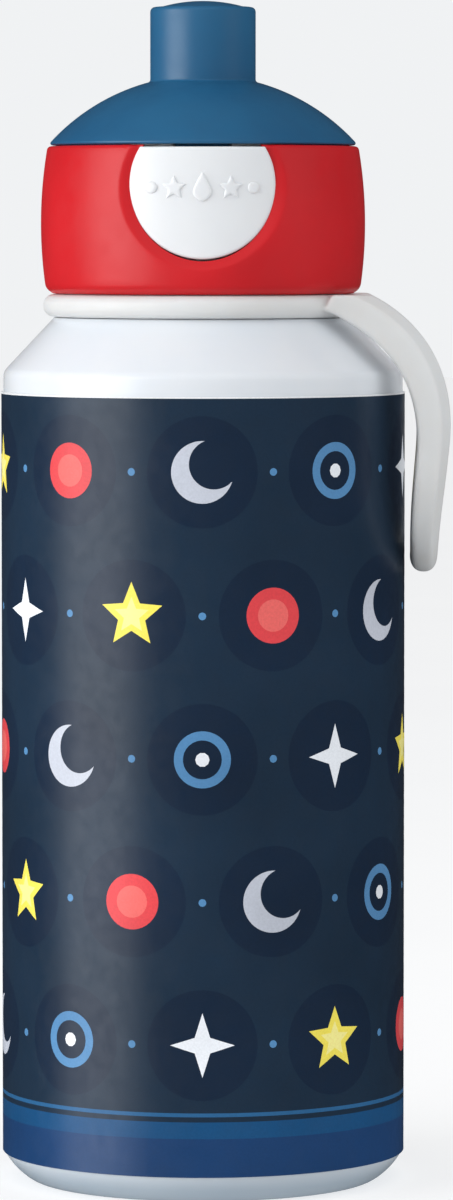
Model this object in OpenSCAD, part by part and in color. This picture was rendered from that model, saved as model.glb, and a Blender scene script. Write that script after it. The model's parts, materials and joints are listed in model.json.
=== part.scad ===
// Children's drinking bottle: a screw cap with a spring flip lid that a push button lets go,
// and a carry strap round the neck. Millimetres.
// The origin is on the bottle's axis, on the surface that it stands on. +Z is up, the button
// faces -Y, the lid's hinge is at +Y and the carry loop hangs at +X.

/* [Bottle] */
// Outside radius of the straight wall
body_r = 31.5; // [31.3:0.1:31.8]
// Thickness of the bottle's wall
wall = 1.2; // [1:0.1:1.4]
// Height at which the straight wall turns into the shoulder
shoulder_z = 126.2; // [126:0.1:126.6]
// Height of the shoulder's top edge
collar_z = 136.2; // [136:0.05:136.25]
// Radius of the round between wall and foot
foot_round = 4.3; // [3.5:0.1:4.3]

/* [Label] */
// Thickness of the printed film
label_t = 0.35; // [0.2:0.05:0.35]
// Height of the film's lower edge
label_low = 4.4; // [4.4:0.1:6]
// Height of the film's upper edge
label_high = 124.6; // [120:0.1:125]

/* [Neck and thread] */
// Radius of the neck at the foot of its thread
neck_r = 18; // [17.8:0.1:18]
// Radius of the bore through the neck
neck_bore_r = 16.2; // [15:0.1:16.4]
// Height of the neck's rim
rim_z = 155; // [154.5:0.1:155]
// Rise of the thread in one turn
thread_lead = 9; // [9:0.1:9.2]
// Number of threads side by side
thread_starts = 3; // [3]

/* [Strap] */
// Outside radius of the strap's ring
ring_r = 25.5; // [24.5:0.1:25.6]
// Height of the ring
ring_h = 3.6; // [3:0.1:3.6]
// Distance of each arm of the loop from the middle
arm_y = 15; // [14.8:0.1:15.2]
// Width of an arm, front to back
arm_w = 5; // [4:0.1:5]
// Height of the loop's lowest point
loop_low = 96.1; // [94:0.1:100]

/* [Cap] */
// Height of the cap's lower edge
cap_low = 140.1; // [140.1:0.05:140.2]
// Height of the cap's upper edge
cap_high = 163.2; // [163.1:0.05:163.2]
// Outside radius of the cap where it is widest
cap_r = 25.55; // [25.4:0.05:25.8]
// Radius of the bore inside the cap's outer ring
cap_bore_r = 23.2; // [23.2:0.05:23.3]

/* [Button] */
// Radius of the window for the button
window_r = 11.6; // [11.4:0.1:11.8]
// Height of the window's centre
window_z = 156.9; // [156.5:0.1:157.2]
// Gap round the button
button_gap = 0.15; // [0.1:0.05:0.25]
// How far the button goes in
button_travel = 1.6; // [1.4:0.1:1.6]

/* [Lid] */
// Radius of the dome's sphere
dome_r = 32.6; // [32.5:0.05:32.7]
// Radius of the knob
knob_r = 8.3; // [8.2:0.1:8.6]
// Height of the knob's flat top
knob_high = 185; // [184.5:0.1:186]
// Thickness of the lid's wall
lid_wall = 1.6; // [1.4:0.1:1.6]

/* [Hinge] */
// Distance of the hinge's axis behind the bottle's axis
hinge_y = 24.3; // [24.3:0.05:24.4]
// Height of the hinge's axis
hinge_z = 163.3; // [163.2:0.05:163.4]
// Radius of the hinge pin
pin_r = 1; // [0.9:0.05:1]
// Radius of the hinge's barrels
barrel_r = 2.2; // [2.1:0.05:2.2]

/* [Spout] */
// Height of the spout's tip
spout_high = 178.5; // [177:0.1:178.5]
// Radius of the spout's tip
spout_tip_r = 4; // [3.8:0.1:4]
// Radius of the channel through the spout
spout_bore_r = 3; // [2.5:0.1:3]

/* [Hidden] */
$fn = 96;
past = 1; // how far a cutter runs past what it cuts
skim = 0.01; // keeps two faces of a cut off each other
reach = 30; // beyond every part that is cut, from the bottle's axis

// colours
white = [0.89, 0.9, 0.92];
soft_white = [0.86, 0.87, 0.88];
navy = [0.1, 0.18, 0.27];
red = [0.8, 0.13, 0.16];
blue = [0.15, 0.37, 0.52];
silicone = [0.85, 0.88, 0.9];
steel = [0.7, 0.71, 0.73];

// bottle
foot_r = body_r - foot_round;
foot_in_r = 23.5;
push_up = 2;
floor_t = 1.5;
body_in_r = body_r - wall;
shoulder_round = 3;
collar_foot_r = 23.3;
collar_r = 22;
bead_r = 22.8;
bead_low = 140.15;
bead_high = 141.2;

// thread: ridges on the neck, and the same ridges inside the cap core, halfway between them
ridge_h = 1.4;
ridge_base = 0.75;
ridge_crest = 0.35;
ridge_bite = 0.3;
ridge_step = 7.5;
neck_ridge_z = 143.2;
neck_ridge_turn = 340;
core_ridge_h = 1.3;
core_ridge_back = 80;
core_ridge_turn = 120;
core_thread_r = neck_r + ridge_h + 0.2;
core_ridge_z = neck_ridge_z + thread_lead / thread_starts / 2 - thread_lead * core_ridge_back / 360;

// strap
ring_in_r = 22.3;
ring_low = collar_z + 0.2;
ring_high = ring_low + ring_h;
ring_round = 1.6;
flex_x = 24.8;
flex_z = ring_low + ring_h / 2;
flex_r = 1.75;
flex_gap = 0.3;
flex_neck = 1;
root_lean = 35;
root_back = 0.3;
root_cut = 6;
arm_out = arm_y + arm_w / 2;
arm_in = arm_y - arm_w / 2;
tip_t = 2.2;
// middle line of the loop seen from the front, as two curves of four points each
bend_line = [[22.2, 138.2], [28.5, 136.6], [36.8, 128.5], [36.6, 116]];
drop_line = [[36.6, 116], [36.55, 109.5], [35.6, loop_low + 8], [34.9, loop_low + tip_t]];
line_steps = 14;

// cap
shell_wide_z = 151;
shell_bulge_r = 70;
shell_foot_round = 1.5;
deck_low = 156.5;
deck_high = 158;
core_r = 20.8;
core_low = 141.5;
boss_r = 5;
boss_high = 164;
boss_bore_r = 3.2;
post_x = 9.2;
post_y = 14.9;
post_w = 3.6;
post_t = 1.2;
post_high = 162.2;
valve_x = 13.5;
valve_hole_r = 1.3;

// lid
dome_z = 141.8;
lid_low = cap_high + 0.15;
dome_in_r = dome_r - lid_wall;
skirt_r = cap_bore_r - 0.4;
skirt_in_r = skirt_r - 1.3;
skirt_low = 161.6;
knob_in_r = knob_r - 1.2;
knob_round = 0.6;
crown_r = 5.2;
crown_h = 1;
liner_low = 162.9;
liner_t = 1;
liner_hole_r = 8.6;
tongue_w = 8.4;
tongue_front = 20.6;
tongue_t = 1.4;
nose_reach = 1.8;
nose_low = 158.7;
nose_h = 1.2;
notch_w = 18.6;
notch_y = 21.4;
notch_high = 166.2;
skirt_back = 18;
liner_back = 19.4;
front_half = window_r + 0.8;
tongue_high = 165;

// hinge
ear_in = 6.4;
ear_out = 9;
knuckle_in = 2.9;
knuckle_out = 6.2;
pin_play = 0.05;
turn_gap = 0.35;

// button and latch
button_in_r = 22.9;
button_out_r = 24.9;
button_high = 162.9;
front_gap = 0.1;
step_w = 1.3;
latch_low = nose_low + nose_h + 0.2;
latch_t = 1.6;
latch_back = 17;
latch_bar = 1.4;
latch_in = 5;
latch_arm_w = 1.6;
wing_x = 11;
wing_front = 19.9;
wing_t = 1;
wing_low = 159;

// springs
wire_r = 0.3;
wire_sides = 8;
coil_r = 1.62;
coil_half = 2.1;
coil_turns = 4;
button_coil_r = 1.3;
button_coil_turns = 4;

// points on an arc round c, from angle a0 to a1
function arc(c, r, a0, a1, n = 8) =
    [for (i = [0 : n]) let (a = a0 + (a1 - a0) * i / n) c + r * [cos(a), sin(a)]];

// point at t on a cubic curve with the control points p, and its direction
function curve(p, t) =
    pow(1 - t, 3) * p[0] + 3 * t * pow(1 - t, 2) * p[1] + 3 * t * t * (1 - t) * p[2] + pow(t, 3) * p[3];
function heading(p, t) =
    let (d = pow(1 - t, 2) * (p[1] - p[0]) + 2 * t * (1 - t) * (p[2] - p[1]) + t * t * (p[3] - p[2]))
    d / norm(d);

// closed tube through rings of points, with n points in each ring
module tube(rings, n) {
    last = len(rings) - 1;
    sides = [
        for (i = [0 : last - 1], k = [0 : n - 1])
            [i * n + k, i * n + (k + 1) % n, (i + 1) * n + (k + 1) % n, (i + 1) * n + k]
    ];
    split = [for (q = sides, h = [0, 1]) h == 0 ? [q[0], q[1], q[2]] : [q[0], q[2], q[3]]];
    start = [for (k = [1 : n - 2]) [0, k + 1, k]];
    end = [for (k = [1 : n - 2]) [last * n, last * n + k, last * n + k + 1]];
    polyhedron(points = [for (r = rings, p = r) p], faces = concat(split, start, end));
}

// round wire along a list of points
module wire(path, r, n) {
    last = len(path) - 1;
    function ahead(i) =
        let (d = path[min(i + 1, last)] - path[max(i - 1, 0)])
        d / norm(d);
    function across(i) =
        let (d = ahead(i), s = abs(d[0]) < 0.8 ? cross(d, [1, 0, 0]) : cross(d, [0, 0, 1]))
        s / norm(s);
    tube([
        for (i = [0 : last])
            [for (k = [0 : n - 1])
                path[i] + r * (cos(360 * k / n) * across(i) - sin(360 * k / n) * cross(ahead(i), across(i)))]
    ], n);
}

// screw ridges that climb from low_z; way is 1 for ridges that point out and -1 for in
module ridges(root_r, height, way, low_z, turn, first) {
    steps = round(turn / ridge_step);
    foot = root_r - way * ridge_bite;
    for (s = [0 : thread_starts - 1])
        tube([
            for (i = [0 : steps])
                let (
                    a = first + 360 * s / thread_starts + turn * i / steps,
                    z = low_z + thread_lead * turn * i / steps / 360,
                    full = min(1, (i + 0.6) / 3, (steps - i + 0.6) / 3),
                    crest = root_r + way * height * full,
                    low = [foot, -ridge_base],
                    high = [foot, ridge_base],
                    outline = [low, [crest, -ridge_crest], [crest, ridge_crest], high]
                )
                [for (k = [0 : 3])
                    let (p = outline[way > 0 ? k : 3 - k])
                    [p[0] * cos(a), p[0] * sin(a), z + p[1]]]
        ], 4);
}

// turned solid of an outline given as [radius, height] points
module turned(outline) {
    rotate_extrude() polygon(outline);
}

// flat ring
module ring(r_out, r_in, low, high) {
    turned([[r_in, low], [r_out, low], [r_out, high], [r_in, high]]);
}

// rod along X at the hinge's axis
module hinge_rod(r, x0, x1) {
    translate([x0, hinge_y, hinge_z])
        rotate([0, 90, 0])
            cylinder(h = x1 - x0, r = r);
}

// block between two corners
module block(low, high) {
    translate(low)
        cube(high - low);
}

// bottle: foot, wall, shoulder, collar with its bead, threaded neck
module bottle_body() {
    outside = concat(
        [[0, push_up], [foot_in_r - 3, push_up - 0.4], [foot_in_r, 0], [foot_r, 0]],
        arc([foot_r, foot_round], foot_round, -90, 0),
        [[body_r, shoulder_z - 1.6]],
        arc([body_r - shoulder_round, shoulder_z - 0.2], shoulder_round, 6, 44, 6),
        [[collar_foot_r, collar_z - 0.35], [collar_foot_r - 0.4, collar_z], [collar_r, collar_z]],
        [[collar_r, bead_low], [bead_r, bead_low + 0.15], [bead_r, bead_high - 0.4]],
        [[bead_r - 0.4, bead_high], [neck_r, bead_high], [neck_r, rim_z - 0.4]],
        [[neck_r - 0.4, rim_z], [0, rim_z]]
    );
    inside = concat(
        [[0, push_up + floor_t], [foot_in_r - 2.6, push_up + floor_t - 0.4]],
        [[foot_in_r + 0.5, floor_t], [foot_r - 0.2, floor_t]],
        arc([foot_r - 0.2, foot_round + 0.2], body_in_r - foot_r + 0.2, -90, 0),
        [[body_in_r, shoulder_z - 1.6]],
        arc([body_r - shoulder_round, shoulder_z - 0.4], shoulder_round - wall, 6, 44, 6),
        [[collar_r - 0.2, collar_z - 1.1], [collar_r - 1.6, collar_z + 0.2]],
        [[collar_r - 1.6, bead_low - 1], [neck_bore_r, bead_high - 0.9], [neck_bore_r, rim_z + past]],
        [[0, rim_z + past]]
    );
    color(white)
        union() {
            difference() {
                turned(outside);
                turned(inside);
            }
            ridges(neck_r, ridge_h, 1, neck_ridge_z, neck_ridge_turn, 0);
        }
}

module label_sleeve() {
    color(navy)
        ring(body_r + label_t, body_r, label_low, label_high);
}

// ring of the strap, with the two barrels on thin necks that the loop flexes on
module strap_ring() {
    color(soft_white)
        difference() {
            union() {
                turned(concat(
                    [[ring_in_r, ring_low]],
                    arc([ring_r - ring_round, ring_low + ring_round], ring_round, -90, 0),
                    arc([ring_r - ring_round, ring_high - ring_round], ring_round, 0, 90),
                    [[ring_in_r, ring_high]]
                ));
                for (side = [-1, 1])
                    translate([0, side * arm_y - arm_w / 2, 0]) {
                        block([ring_in_r / 2, 0, flex_z - flex_neck], [flex_x, arm_w, flex_z + flex_neck]);
                        translate([flex_x, 0, flex_z])
                            rotate([-90, 0, 0])
                                cylinder(h = arm_w, r = flex_r);
                    }
            }
            translate([0, 0, ring_low - past])
                cylinder(h = ring_h + 2 * past, r = ring_in_r);
        }
}

// half the loop's thickness along its middle line: w counts 0 to 1 down the bend
function bend_half(w) = 2.45 + 0.75 * sin(180 * min(1, w * 1.1));
function drop_half(w) = 2.6 + (tip_t - 2.6) * w;
function bend_point(t, side) =
    curve(bend_line, t) + side * bend_half(t) * [-heading(bend_line, t)[1], heading(bend_line, t)[0]];
function drop_point(t, side) =
    curve(drop_line, t) + side * drop_half(t) * [-heading(drop_line, t)[1], heading(drop_line, t)[0]];

// the loop seen from the front
module loop_side() {
    steps = line_steps;
    tip = drop_line[3];
    lean = atan2(heading(drop_line, 1)[1], heading(drop_line, 1)[0]);
    polygon(concat(
        [for (i = [0 : steps]) bend_point(i / steps, 1)],
        [for (i = [1 : steps - 1]) drop_point(i / steps, 1)],
        arc(tip, tip_t, lean + 90, lean - 90),
        [for (i = [steps - 1 : -1 : 1]) drop_point(i / steps, -1)],
        [for (i = [steps : -1 : 0]) bend_point(i / steps, -1)]
    ));
}

// the loop seen from the side: two arms that meet in a half circle
module loop_outline(half, low) {
    translate([0, low + half])
        circle(r = half);
    translate([-half, low + half])
        square([2 * half, 2 * reach]);
}

module carry_loop() {
    color(soft_white)
        difference() {
            intersection() {
                translate([0, arm_out, 0])
                    rotate([90, 0, 0])
                        linear_extrude(2 * arm_out)
                            loop_side();
                rotate([90, 0, 90])
                    linear_extrude(2 * reach)
                        difference() {
                            loop_outline(arm_out, loop_low - skim);
                            loop_outline(arm_in, loop_low + arm_w);
                        }
            }
            translate([flex_x, 0, flex_z]) {
                rotate([90, 0, 0])
                    cylinder(h = 2 * arm_out + past, r = flex_r + flex_gap, center = true);
                rotate([0, root_lean, 0])
                    block([-root_cut, -arm_out - past, -root_cut], [root_back, arm_out + past, root_cut]);
                block([-root_cut, -arm_out - past, -root_cut], [root_back, arm_out + past, 0]);
            }
        }
}

module neck_gasket() {
    color(silicone)
        ring(neck_r + 1, neck_bore_r - 0.6, rim_z, deck_low);
}

// cutter for the shallow step round the button's window: it follows the curve of the cap
module window_step() {
    intersection() {
        ring(cap_r + past, button_out_r, window_z - reach, window_z + reach);
        translate([0, -cap_bore_r / 2, window_z])
            rotate([90, 0, 0])
                cylinder(h = reach, r = window_r + step_w);
    }
}

// outer ring of the cap, with the button's window and the hinge's ears
module cap_shell() {
    function bulge(z) = cap_r - pow(z - shell_wide_z, 2) / (2 * shell_bulge_r);
    side_low = cap_low + shell_foot_round;
    steps = 14;
    outside = concat(
        arc([bulge(side_low) - shell_foot_round, side_low], shell_foot_round, -90, 0),
        [for (i = [1 : steps]) let (z = side_low + (cap_high - 0.3 - side_low) * i / steps) [bulge(z), z]],
        [[bulge(cap_high) - 0.3, cap_high]]
    );
    color(red)
        difference() {
            union() {
                turned(concat(outside, [[cap_bore_r, cap_high], [cap_bore_r, cap_low]]));
                hinge_ears();
            }
            translate([0, -cap_bore_r / 2, window_z])
                rotate([90, 0, 0])
                    cylinder(h = reach, r = window_r);
            window_step();
            hinge_rod(barrel_r + turn_gap, -ear_in + pin_play, ear_in - pin_play);
            hinge_rod(pin_r, -ear_out - past, ear_out + past);
        }
}

// the two ears that hold the hinge pin, each with a rib down the back of the cap
module hinge_ears() {
    rib_low = hinge_z - 6.5;
    for (side = [-1, 1])
        translate([side * (ear_in + ear_out) / 2 - (ear_out - ear_in) / 2, 0, 0]) {
            translate([0, hinge_y, hinge_z])
                rotate([0, 90, 0])
                    cylinder(h = ear_out - ear_in, r = barrel_r);
            rotate([90, 0, 90])
                linear_extrude(ear_out - ear_in)
                    polygon([
                        [cap_bore_r - 0.3, rib_low], [cap_r - 0.8, rib_low],
                        [hinge_y + barrel_r, hinge_z], [cap_bore_r - 0.3, hinge_z]
                    ]);
        }
}

// inner cup of the cap: threaded skirt, deck, boss for the spout, spring posts
module cap_core() {
    outline = [
        [boss_bore_r, deck_low], [core_thread_r, deck_low], [core_thread_r, core_low + 0.4],
        [core_thread_r + 0.3, core_low], [core_r, core_low], [core_r, deck_low],
        [cap_bore_r, deck_low], [cap_bore_r, deck_high], [boss_r, deck_high],
        [boss_r, boss_high], [boss_bore_r, boss_high]
    ];
    color(white)
        union() {
            difference() {
                turned(outline);
                deck_front();
                translate([valve_x, 0, deck_low - past])
                    cylinder(h = 4, r = valve_hole_r);
            }
            for (side = [-1, 1])
                translate([side * post_x - post_w / 2, -post_y, deck_high - 0.5])
                    cube([post_w, post_t, post_high - deck_high + 0.5]);
            ridges(core_thread_r, core_ridge_h, -1, core_ridge_z, core_ridge_turn, -core_ridge_back);
        }
}

// what the deck leaves free in front, for the button when it is pressed
module deck_front() {
    difference() {
        block([-front_half, -reach, deck_low - past], [front_half, -core_r / 2, deck_high + past]);
        translate([0, button_travel + front_gap, deck_low - 2 * past])
            cylinder(h = deck_high - deck_low + 4 * past, r = button_in_r - 3 * front_gap);
    }
}

// soft spout, pushed over the boss
module spout() {
    color(silicone)
        turned(concat(
            [[boss_r, deck_high], [6.3, deck_high], [6.3, 165]],
            arc([9.1, 165], 2.8, 180, 152, 4),
            [[spout_tip_r + 0.1, spout_high - 1.2]],
            arc([spout_tip_r - 0.6, spout_high - 0.6], 0.6, 0, 90, 5),
            [[spout_bore_r, spout_high], [spout_bore_r, boss_high + 0.6], [boss_r, boss_high + 0.1]]
        ));
}

module spout_retainer() {
    color(white)
        ring(7.6, 6.3, deck_high, deck_high + 2.6);
}

// air valve: a mushroom whose stem goes through the deck
module vent_valve() {
    color(silicone)
        translate([valve_x, 0, 0])
            turned([
                [0, deck_low - 1.2], [1, deck_low - 1.2], [1.8, deck_low], [valve_hole_r, deck_low],
                [valve_hole_r, deck_high], [3.2, deck_high], [2.4, deck_high + 0.9], [0, deck_high + 1.1]
            ]);
}

module hinge_pin() {
    color(steel)
        hinge_rod(pin_r, -ear_out, ear_out);
}

// torsion spring round the hinge pin: one leg on the deck, one under the lid
module lid_spring() {
    per_turn = 20;
    leaves = 240;
    sweep = 360 * coil_turns + 180 - leaves;
    steps = round(per_turn * sweep / 360);
    coil = [
        for (i = [0 : steps])
            let (a = 180 - sweep * i / steps, x = coil_half * (2 * i / steps - 1))
            [x, hinge_y + coil_r * cos(a), hinge_z + coil_r * sin(a)]
    ];
    first_leg = [[-coil_half, hinge_y - coil_r, deck_high + 0.4]];
    last_leg = [[coil_half, hinge_y + coil_r * cos(leaves) - 2.1, hinge_z + coil_r * sin(leaves) + 0.8]];
    color(steel)
        wire(concat(first_leg, coil, last_leg), wire_r, wire_sides);
}

// lid: dome, knob and rim, a skirt inside the cap, a tongue for the latch, hinge knuckles
module flip_lid() {
    function on_sphere(r, z) = sqrt(r * r - pow(z - dome_z, 2));
    rim_a = asin((lid_low - dome_z) / dome_r);
    neck_a = acos((knob_r + 0.3) / dome_r);
    skirt_a = asin((lid_low - dome_z) / dome_in_r);
    mouth_a = acos(knob_in_r / dome_in_r);
    outside = concat(
        [[skirt_in_r, skirt_low], [skirt_r, skirt_low], [skirt_r, lid_low]],
        arc([0, dome_z], dome_r, rim_a, neck_a, 16),
        [[knob_r, dome_z + dome_r * sin(neck_a) + 0.35]],
        arc([knob_r - knob_round, knob_high - knob_round], knob_round, 0, 90, 5),
        [[crown_r, knob_high]],
        arc([0, knob_high + crown_h - 14], 14, 68.2, 90, 4)
    );
    inside = concat(
        [[0, knob_high - lid_wall], [knob_in_r, knob_high - lid_wall]],
        arc([0, dome_z], dome_in_r, mouth_a, skirt_a + 1, 14),
        [[skirt_in_r, lid_low + 0.3]]
    );
    color(blue)
        union() {
            difference() {
                turned(concat(outside, inside));
                block([-front_half, -reach, skirt_low - past], [front_half, -skirt_r / 2, lid_low]);
                block([-notch_w / 2, notch_y, skirt_low - past], [notch_w / 2, reach, notch_high]);
                block([-notch_w / 2, skirt_back, skirt_low - past], [notch_w / 2, reach, lid_low]);
            }
            lid_tongue();
            lid_knuckles();
        }
}

// tongue under the lid's front edge; its nose points back, under the latch's bar
module lid_tongue() {
    block([-tongue_w / 2, -tongue_front, nose_low], [tongue_w / 2, -tongue_front + tongue_t, tongue_high]);
    block(
        [-tongue_w / 2, -tongue_front + tongue_t - 0.1, nose_low],
        [tongue_w / 2, -tongue_front + tongue_t + nose_reach, nose_low + nose_h]
    );
}

module lid_knuckles() {
    difference() {
        for (x = [knuckle_in, -knuckle_out]) {
            hinge_rod(barrel_r, x, x + knuckle_out - knuckle_in);
            block([x, notch_y - 0.8, hinge_z + 0.3], [x + knuckle_out - knuckle_in, hinge_y, hinge_z + 2]);
        }
        hinge_rod(pin_r + pin_play, -knuckle_out - past, knuckle_out + past);
    }
}

// plate inside the lid
module lid_liner() {
    color(white)
        difference() {
            ring(skirt_in_r, liner_hole_r, liner_low, liner_low + liner_t);
            block(
                [-tongue_w / 2 - turn_gap, -reach, liner_low - past],
                [tongue_w / 2 + turn_gap, -tongue_front + tongue_t + turn_gap, liner_low + liner_t + past]
            );
            block(
                [-notch_w / 2, liner_back, liner_low - past],
                [notch_w / 2, reach, liner_low + liner_t + past]
            );
        }
}

// stopper in the knob
module spout_seal() {
    high = knob_high - lid_wall;
    color(silicone)
        turned([
            [0, spout_high - 1.05], [1.2, spout_high - 1.05], [1.6, spout_high + 0.15],
            [4.6, spout_high + 0.15], [4.6, high - 1.6], [knob_in_r, high - 1.6], [knob_in_r, high], [0, high]
        ]);
}

// push button: a curved disc cut off level at the top
module button() {
    color(white)
        intersection() {
            ring(button_out_r, button_in_r, window_z - reach, button_high);
            translate([0, -cap_bore_r / 2, window_z])
                rotate([90, 0, 0])
                    cylinder(h = reach, r = window_r - button_gap);
        }
}

// slider behind the button: a bar that holds the lid's tongue, and two wings for the springs
module latch_frame() {
    high = latch_low + latch_t;
    color(soft_white)
        intersection() {
            union() {
                block([-latch_in - latch_arm_w, -latch_back - latch_bar, latch_low],
                      [latch_in + latch_arm_w, -latch_back, high]);
                for (side = [-1, 1])
                    translate([side * (latch_in + latch_arm_w / 2), 0, 0])
                        block([-latch_arm_w / 2, -reach, latch_low], [latch_arm_w / 2, -latch_back, high]);
                for (x = [latch_in, -wing_x])
                    block([x, -wing_front, wing_low],
                          [x + wing_x - latch_in, -wing_front + wing_t, post_high]);
            }
            translate([0, 0, wing_low - past])
                cylinder(h = post_high - wing_low + 2 * past, r = button_in_r);
        }
}

// coil spring between a wing of the latch and its post
module button_spring(x) {
    per_turn = 16;
    steps = per_turn * button_coil_turns;
    low_y = -wing_front + wing_t + wire_r;
    high_y = -post_y - wire_r;
    z = (wing_low + post_high) / 2;
    color(steel)
        wire([
            for (i = [0 : steps])
                let (a = 360 * i / per_turn)
                [x + button_coil_r * cos(a), low_y + (high_y - low_y) * i / steps, z + button_coil_r * sin(a)]
        ], wire_r, wire_sides);
}

module button_spring_left() {
    button_spring(-post_x);
}

module button_spring_right() {
    button_spring(post_x);
}

bottle_body();
label_sleeve();
strap_ring();
carry_loop();
neck_gasket();
cap_shell();
cap_core();
spout();
spout_retainer();
vent_valve();
hinge_pin();
lid_spring();
flip_lid();
lid_liner();
spout_seal();
button();
latch_frame();
button_spring_left();
button_spring_right();
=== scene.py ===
"""Looks of the children's drinking bottle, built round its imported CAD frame."""

import json
import math

import bmesh
import bpy
import numpy as np
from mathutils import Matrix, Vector
from mathutils.geometry import delaunay_2d_cdt


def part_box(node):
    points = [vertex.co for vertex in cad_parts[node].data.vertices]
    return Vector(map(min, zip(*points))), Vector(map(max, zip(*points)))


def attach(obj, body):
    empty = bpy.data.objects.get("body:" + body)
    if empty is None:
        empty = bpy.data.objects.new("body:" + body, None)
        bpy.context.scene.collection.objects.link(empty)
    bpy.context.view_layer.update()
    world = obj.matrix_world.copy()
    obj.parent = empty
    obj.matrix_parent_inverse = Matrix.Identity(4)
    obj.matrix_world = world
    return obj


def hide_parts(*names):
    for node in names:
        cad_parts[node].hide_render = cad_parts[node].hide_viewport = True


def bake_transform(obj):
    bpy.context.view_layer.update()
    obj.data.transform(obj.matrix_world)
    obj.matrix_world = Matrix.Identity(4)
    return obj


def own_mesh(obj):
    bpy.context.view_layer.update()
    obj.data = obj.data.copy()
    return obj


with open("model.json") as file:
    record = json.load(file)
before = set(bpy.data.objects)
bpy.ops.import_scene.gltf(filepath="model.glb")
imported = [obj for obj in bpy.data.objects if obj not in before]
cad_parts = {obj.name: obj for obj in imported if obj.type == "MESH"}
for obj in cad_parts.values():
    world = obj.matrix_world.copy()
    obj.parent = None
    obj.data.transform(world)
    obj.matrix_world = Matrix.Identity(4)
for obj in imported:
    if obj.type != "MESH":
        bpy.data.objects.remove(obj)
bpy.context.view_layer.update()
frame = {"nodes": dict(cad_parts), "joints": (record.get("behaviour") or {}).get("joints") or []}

MM = 0.001


# ---------------------------------------------------------------- sizes, in mm, from the frame
def low(node):
    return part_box(node)[0] / MM


def high(node):
    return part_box(node)[1] / MM


BODY_R = high("bottle_body").x
RIM_Z = high("bottle_body").z
LABEL_R = high("label_sleeve").x
LABEL_LOW = low("label_sleeve").z
LABEL_HIGH = high("label_sleeve").z
RING_R = -low("strap_ring").x
RING_LOW = low("strap_ring").z
RING_HIGH = high("strap_ring").z
ARM_OUT = high("carry_loop").y
LOOP_LOW = low("carry_loop").z
CAP_R = high("cap_shell").x
CAP_LOW = low("cap_shell").z
BUTTON_R = high("button").x - 0.12  # so that the dark gap round the button shows
BUTTON_HIGH = high("button").z
BUTTON_FACE = -low("button").y
LID_HIGH = high("flip_lid").z
LID_LOW = low("lid_liner").z + 0.45  # the dome's lower edge, just above the liner's
KNOB_IN = high("spout_seal").x
SKIRT_IN = high("lid_liner").x
GASKET_R = high("neck_gasket").x
DECK_LOW = high("neck_gasket").z
CORE_LOW = low("cap_core").z
DECK_R = high("cap_core").x
SPOUT_R = high("spout").x
SPOUT_HIGH = high("spout").z
DECK_HIGH = low("spout").z
PIN_HALF = high("hinge_pin").x

HINGE = {j["name"]: j for j in frame["joints"]}["lid_open"]["pos_m"]
HINGE_Y, HINGE_Z = HINGE[1] / MM, HINGE[2] / MM
HINGE_AT = (0, HINGE_Y, HINGE_Z)

# shape details that the boxes don't say; they repeat part.scad
CAP_HIGH = 163.2
CAP_BORE = 23.2
CAP_WIDE_Z = 151
CAP_BULGE = 70
WINDOW_Z = BUTTON_HIGH - 6
WINDOW_R = BUTTON_R + 0.3
BUTTON_BACK = 22.9
RELIEF = 0.3
DOME_R = 32.6
DOME_Z = 141.8
LID_WALL = 1.6
LATCH_HALF = 12.4  # half width of the flat that clears the latch
TONGUE_HALF = 4.2
NOTCH_HALF = 9.3  # half width of the lid's notch at the hinge
KNUCKLE_R = 2.2
PIN_R = 1.0
NECK_R = 18
NECK_BORE = 16.2
THREAD_R = 19.6  # of the cap
COLLAR_R = 22
COLLAR_Z = 136.2
BEAD_R, BEAD_Z = 22.8, 141.2
SHOULDER_R = 23.5  # where the shoulder meets the collar
SHOULDER_Z = 126.2
WALL = 1.2
FOOT_ROUND = 4.3
RING_BORE = 22.3
VENT_X = 13.5


# ---------------------------------------------------------------- mesh helpers
def srgb(r, g, b):
    def one(c):
        c = c / 255
        return c / 12.92 if c <= 0.04045 else ((c + 0.055) / 1.055) ** 2.4

    return (one(r), one(g), one(b), 1.0)


def link(name, data):
    """A scene object for a mesh, a light or a camera."""
    obj = bpy.data.objects.new(name, data)
    bpy.context.scene.collection.objects.link(obj)
    return obj


def solid_from(bm, name):
    """A scene object from a bmesh, which is used up."""
    mesh = bpy.data.meshes.new(name)
    bm.to_mesh(mesh)
    bm.free()
    return link(name, mesh)


def make(name, verts, faces):
    """A mesh object from points in mm."""
    mesh = bpy.data.meshes.new(name)
    mesh.from_pydata([tuple(c * MM for c in v) for v in verts], [], faces)
    mesh.validate()
    return link(name, mesh)


def outward(obj):
    bm = bmesh.new()
    bm.from_mesh(obj.data)
    bmesh.ops.recalc_face_normals(bm, faces=bm.faces)
    bm.to_mesh(obj.data)
    bm.free()
    return obj


def shade(obj, angle=32):
    obj.data.shade_smooth()
    obj.data.set_sharp_from_angle(angle=math.radians(angle))
    return obj


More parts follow.
